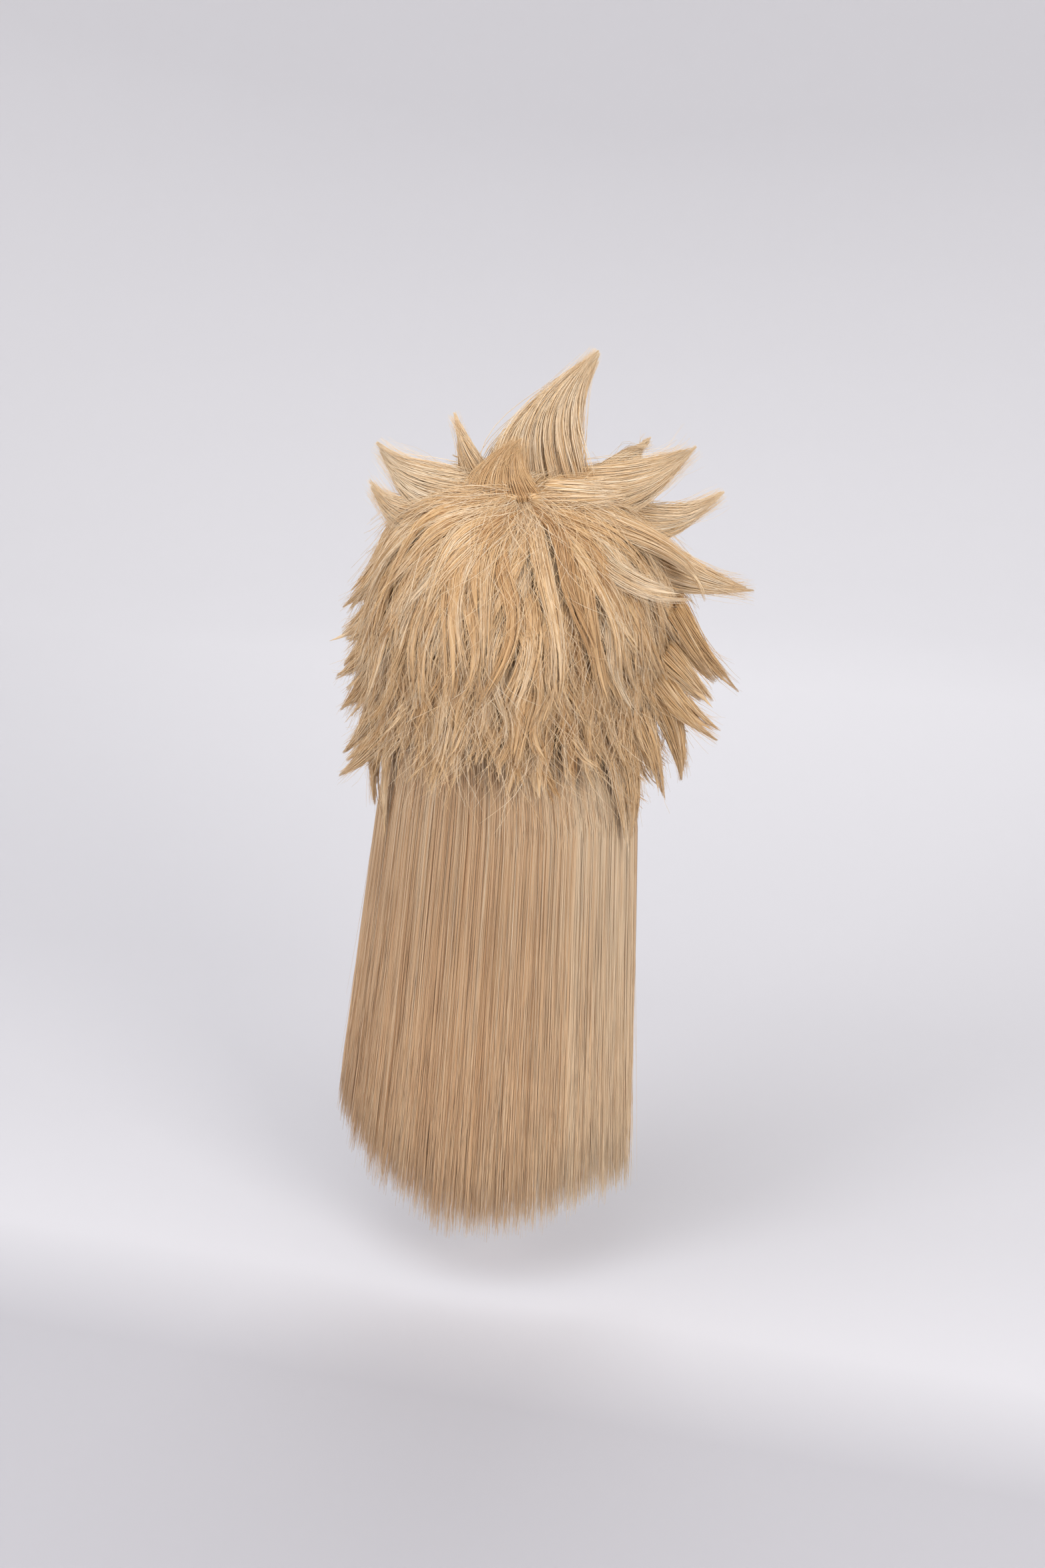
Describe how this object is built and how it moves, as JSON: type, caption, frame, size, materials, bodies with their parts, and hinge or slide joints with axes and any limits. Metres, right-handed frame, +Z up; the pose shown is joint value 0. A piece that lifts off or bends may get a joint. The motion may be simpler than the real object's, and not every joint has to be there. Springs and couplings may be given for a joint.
{
  "type": "costume wig",
  "caption": "Two-length costume wig: short shaggy layers with styled spikes over a long straight curtain of hair, on a sewn cap with snap combs and adjuster straps.",
  "frame": {"origin": "middle of the head cavity at brow level, where the head sits in the cap", "axes": "+Z up, -Y out of the face opening, +Y to the nape, -X to the wearer's right"},
  "size_m": [0.2897, 0.2557, 0.6273],
  "materials": {
    "short_fibre": "pale blonde synthetic fibre, satin",
    "long_fibre": "beige blonde synthetic fibre, satin",
    "rose_net": "dark knitted net",
    "cap_band": "dark brushed tricot",
    "satin_ribbon": "woven ribbon",
    "weft_stitching": "stitched weft",
    "crown_mesh": "fine monofilament mesh",
    "stay_strip": "thin bendable strip",
    "elastic": "ribbed elastic webbing",
    "hook_steel": "nickel plated wire",
    "comb_frame_steel": "dark lacquered spring steel",
    "comb_leaf_steel": "dark lacquered spring steel"
  },
  "bodies": {
    "cap": {"back_low_layer": "short_fibre", "centre_ribbon": "satin_ribbon", "comb_pins": "comb_frame_steel", "crown_hair": "short_fibre", "crown_patch": "crown_mesh", "fringe_locks": "short_fibre", "front_band": "cap_band", "front_comb_frame": "comb_frame_steel", "front_crown_net": "rose_net", "front_hair": "short_fibre", "left_comb_frame": "comb_frame_steel", "left_crown_net": "rose_net", "left_ear_tab": "cap_band", "left_hair": "short_fibre", "left_low_layer": "short_fibre", "left_ribbon": "satin_ribbon", "left_side_locks": "short_fibre", "left_spike_1": "short_fibre", "left_spike_2": "short_fibre", "left_strap": "elastic", "left_strap_loops": "elastic", "left_temple_stay": "stay_strip", "lower_back_hair": "short_fibre", "nape_comb_frame": "comb_frame_steel", "nape_panel": "rose_net", "right_comb_frame": "comb_frame_steel", "right_crown_net": "rose_net", "right_curled_lock": "short_fibre", "right_ear_tab": "cap_band", "right_far_spike": "short_fibre", "right_hair": "short_fibre", "right_low_layer": "short_fibre", "right_ribbon": "satin_ribbon", "right_side_locks": "short_fibre", "right_spike_1": "short_fibre", "right_spike_2": "short_fibre", "right_spike_3": "short_fibre", "right_strap": "elastic", "right_strap_loops": "elastic", "right_temple_stay": "stay_strip", "sideburn_locks": "short_fibre", "small_top_spikes": "short_fibre", "top_spike": "short_fibre", "upper_back_hair": "short_fibre", "weft_track_1": "weft_stitching", "weft_track_2": "weft_stitching", "weft_track_3": "weft_stitching", "weft_track_4": "weft_stitching", "weft_track_5": "weft_stitching", "weft_track_6": "weft_stitching"},
    "long_hair": {"inner_long_row": "long_fibre", "middle_long_row": "long_fibre", "outer_long_row": "long_fibre"},
    "front_comb": {"front_comb_leaf": "comb_leaf_steel"},
    "nape_comb": {"nape_comb_leaf": "comb_leaf_steel"},
    "left_comb": {"left_comb_leaf": "comb_leaf_steel"},
    "right_comb": {"right_comb_leaf": "comb_leaf_steel"},
    "left_slider": {"left_hook": "hook_steel"},
    "right_slider": {"right_hook": "hook_steel"}
  },
  "joints": [
    {"name": "long_hair_swing", "type": "hinge", "parent": "cap", "child": "long_hair", "pos_m": [0, 0.06919, -0.066], "axis": [1, 0, 0], "range_deg": [-8, 15]},
    {"name": "front_comb_snap", "type": "hinge", "parent": "cap", "child": "front_comb", "pos_m": [0, -0.08345, 0.042], "axis": [-1, 0, 0], "range_deg": [0, 50]},
    {"name": "nape_comb_snap", "type": "hinge", "parent": "cap", "child": "nape_comb", "pos_m": [0, 0.0863, -0.03437], "axis": [1, 0, 0], "range_deg": [0, 50]},
    {"name": "left_comb_snap", "type": "hinge", "parent": "cap", "child": "left_comb", "pos_m": [0.0673, -0.02869, 0.01542], "axis": [-0.253, -0.9675, 0], "range_deg": [0, 50]},
    {"name": "right_comb_snap", "type": "hinge", "parent": "cap", "child": "right_comb", "pos_m": [-0.0673, -0.02869, 0.01542], "axis": [-0.253, 0.9675, 0], "range_deg": [0, 50]},
    {"name": "left_strap_adjust", "type": "slide", "parent": "cap", "child": "left_slider", "axis": [0.8053, -0.5928, 0], "range_m": [0, 0.022]},
    {"name": "right_strap_adjust", "type": "slide", "parent": "cap", "child": "right_slider", "axis": [-0.8053, -0.5928, 0], "range_m": [0, 0.022]}
  ]
}
